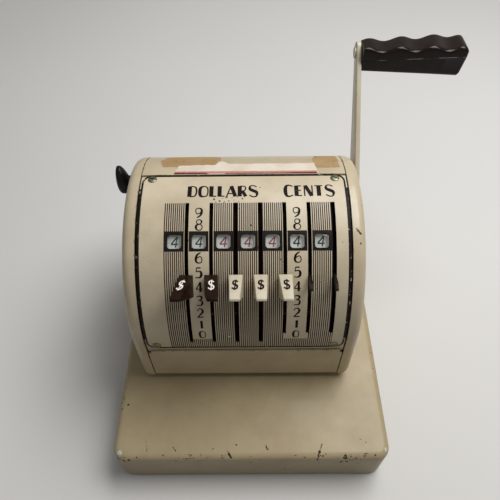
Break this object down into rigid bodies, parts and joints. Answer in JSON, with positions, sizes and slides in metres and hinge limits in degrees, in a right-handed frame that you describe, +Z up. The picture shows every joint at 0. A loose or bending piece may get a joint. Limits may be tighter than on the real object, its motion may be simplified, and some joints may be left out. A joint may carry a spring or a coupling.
{
  "type": "check writer",
  "caption": "Desk check writer: a drum-fronted head on a pan base, with selector levers in curved slots, number windows, a side pull handle and a check throat below.",
  "frame": {"origin": "middle of the base's footprint, on the table", "axes": "+X to the operator's right, along the selector and drive shafts; +Y to the back; +Z up"},
  "size_m": [0.3203, 0.3151, 0.2559],
  "materials": {
    "cream_enamel": "glossy stoved enamel, chipped at the corners",
    "black_enamel": "satin black",
    "grey_steel": "plain cold-rolled steel",
    "bright_steel": "ground and polished",
    "type_brass": "machined",
    "window_glass": "clear",
    "maroon_plastic": "moulded, slightly worn",
    "cream_plastic": "moulded, yellowed",
    "brown_bakelite": "polished phenolic",
    "black_rubber": "matt",
    "inked_felt": "soaked with ink"
  },
  "bodies": {
    "frame": {"apron": "cream_enamel", "base_cover": "cream_enamel", "base_posts": "grey_steel", "bottom_plate": "grey_steel", "detent_comb": "grey_steel", "drive_bushing": "type_brass", "face_plate": "cream_enamel", "face_screws": "bright_steel", "frame_spacers": "grey_steel", "front_panel": "cream_enamel", "ink_shaft": "bright_steel", "left_cover": "cream_enamel", "left_frame": "grey_steel", "pivot_brackets": "grey_steel", "platen_pivot": "bright_steel", "right_cover": "cream_enamel", "right_frame": "grey_steel", "rubber_feet": "black_rubber", "selector_shaft": "bright_steel", "side_pivot": "bright_steel", "throat_plate": "grey_steel", "top_cover": "cream_enamel", "type_shaft": "bright_steel", "window_bezels": "black_enamel", "window_lenses": "window_glass"},
    "selector_1": {"selector_segment_1": "grey_steel", "lever_cap_1": "maroon_plastic"},
    "type_1": {"type_wheel_1": "type_brass"},
    "selector_2": {"selector_segment_2": "grey_steel", "lever_cap_2": "maroon_plastic"},
    "type_2": {"type_wheel_2": "type_brass"},
    "selector_3": {"selector_segment_3": "grey_steel", "lever_cap_3": "cream_plastic"},
    "type_3": {"type_wheel_3": "type_brass"},
    "selector_4": {"selector_segment_4": "grey_steel", "lever_cap_4": "cream_plastic"},
    "type_4": {"type_wheel_4": "type_brass"},
    "selector_5": {"selector_segment_5": "grey_steel", "lever_cap_5": "cream_plastic"},
    "type_5": {"type_wheel_5": "type_brass"},
    "selector_6": {"selector_segment_6": "grey_steel"},
    "type_6": {"type_wheel_6": "type_brass"},
    "selector_7": {"selector_segment_7": "grey_steel"},
    "type_7": {"type_wheel_7": "type_brass"},
    "handle": {"drive_shaft": "bright_steel", "drive_cam": "grey_steel", "handle_arm": "cream_enamel", "handle_cap_nut": "bright_steel", "handle_grip": "brown_bakelite", "grip_screw": "bright_steel"},
    "platen_rocker": {"platen_lever": "grey_steel", "platen": "black_rubber"},
    "cam_follower": {"cam_roller": "bright_steel"},
    "side_lever": {"side_lever_arm": "grey_steel", "side_lever_knob": "brown_bakelite"},
    "inker": {"ink_roller": "inked_felt"}
  },
  "joints": [
    {"name": "selector_1_turn", "type": "hinge", "parent": "frame", "child": "selector_1", "pos_m": [-0.04865, 0.035, 0.111], "axis": [-1, 0, 0], "range_deg": [-34, 34]},
    {"name": "type_1_turn", "type": "hinge", "parent": "frame", "child": "type_1", "pos_m": [-0.05665, 0.01367, 0.082], "axis": [-1, 0, 0], "range_deg": [-68, 68]},
    {"name": "selector_2_turn", "type": "hinge", "parent": "frame", "child": "selector_2", "pos_m": [-0.0296, 0.035, 0.111], "axis": [-1, 0, 0], "range_deg": [-34, 34]},
    {"name": "type_2_turn", "type": "hinge", "parent": "frame", "child": "type_2", "pos_m": [-0.0376, 0.01367, 0.082], "axis": [-1, 0, 0], "range_deg": [-68, 68]},
    {"name": "selector_3_turn", "type": "hinge", "parent": "frame", "child": "selector_3", "pos_m": [-0.01055, 0.035, 0.111], "axis": [-1, 0, 0], "range_deg": [-34, 34]},
    {"name": "type_3_turn", "type": "hinge", "parent": "frame", "child": "type_3", "pos_m": [-0.01855, 0.01367, 0.082], "axis": [-1, 0, 0], "range_deg": [-68, 68]},
    {"name": "selector_4_turn", "type": "hinge", "parent": "frame", "child": "selector_4", "pos_m": [0.0085, 0.035, 0.111], "axis": [-1, 0, 0], "range_deg": [-34, 34]},
    {"name": "type_4_turn", "type": "hinge", "parent": "frame", "child": "type_4", "pos_m": [0.0005, 0.01367, 0.082], "axis": [-1, 0, 0], "range_deg": [-68, 68]},
    {"name": "selector_5_turn", "type": "hinge", "parent": "frame", "child": "selector_5", "pos_m": [0.02755, 0.035, 0.111], "axis": [-1, 0, 0], "range_deg": [-27.2, 34]},
    {"name": "type_5_turn", "type": "hinge", "parent": "frame", "child": "type_5", "pos_m": [0.01955, 0.01367, 0.082], "axis": [-1, 0, 0], "range_deg": [-68, 54.4]},
    {"name": "selector_6_turn", "type": "hinge", "parent": "frame", "child": "selector_6", "pos_m": [0.0466, 0.035, 0.111], "axis": [-1, 0, 0], "range_deg": [-27.2, 34]},
    {"name": "type_6_turn", "type": "hinge", "parent": "frame", "child": "type_6", "pos_m": [0.0386, 0.01367, 0.082], "axis": [-1, 0, 0], "range_deg": [-68, 54.4]},
    {"name": "selector_7_turn", "type": "hinge", "parent": "frame", "child": "selector_7", "pos_m": [0.06565, 0.035, 0.111], "axis": [-1, 0, 0], "range_deg": [-27.2, 34]},
    {"name": "type_7_turn", "type": "hinge", "parent": "frame", "child": "type_7", "pos_m": [0.05765, 0.01367, 0.082], "axis": [-1, 0, 0], "range_deg": [-68, 54.4]},
    {"name": "handle_pull", "type": "hinge", "parent": "frame", "child": "handle", "pos_m": [0.1002, 0.065, 0.129], "axis": [1, 0, 0], "range_deg": [0, 85], "stiffness_Nm_per_rad": 0.2, "springref_deg": -28.65},
    {"name": "platen_tip", "type": "hinge", "parent": "frame", "child": "platen_rocker", "pos_m": [0, 0.089, 0.026], "axis": [-1, 0, 0], "range_deg": [0, 6.2]},
    {"name": "follower_spin", "type": "hinge", "parent": "platen_rocker", "child": "cam_follower", "pos_m": [0.07275, 0.0856, 0.129], "axis": [1, 0, 0], "continuous": true},
    {"name": "side_lever_turn", "type": "hinge", "parent": "frame", "child": "side_lever", "pos_m": [-0.101, 0.065, 0.116], "axis": [1, 0, 0], "range_deg": [0, 28]},
    {"name": "ink_roller_spin", "type": "hinge", "parent": "frame", "child": "inker", "pos_m": [0, -0.01863, 0.074], "axis": [1, 0, 0], "continuous": true}
  ],
  "couplings": [
    {"joint": "type_1_turn", "follows": "selector_1_turn", "ratio": -2},
    {"joint": "type_2_turn", "follows": "selector_2_turn", "ratio": -2},
    {"joint": "type_3_turn", "follows": "selector_3_turn", "ratio": -2},
    {"joint": "type_4_turn", "follows": "selector_4_turn", "ratio": -2},
    {"joint": "type_5_turn", "follows": "selector_5_turn", "ratio": -2},
    {"joint": "type_6_turn", "follows": "selector_6_turn", "ratio": -2},
    {"joint": "type_7_turn", "follows": "selector_7_turn", "ratio": -2},
    {"joint": "platen_tip", "follows": "handle_pull", "ratio": 0.0712}
  ]
}
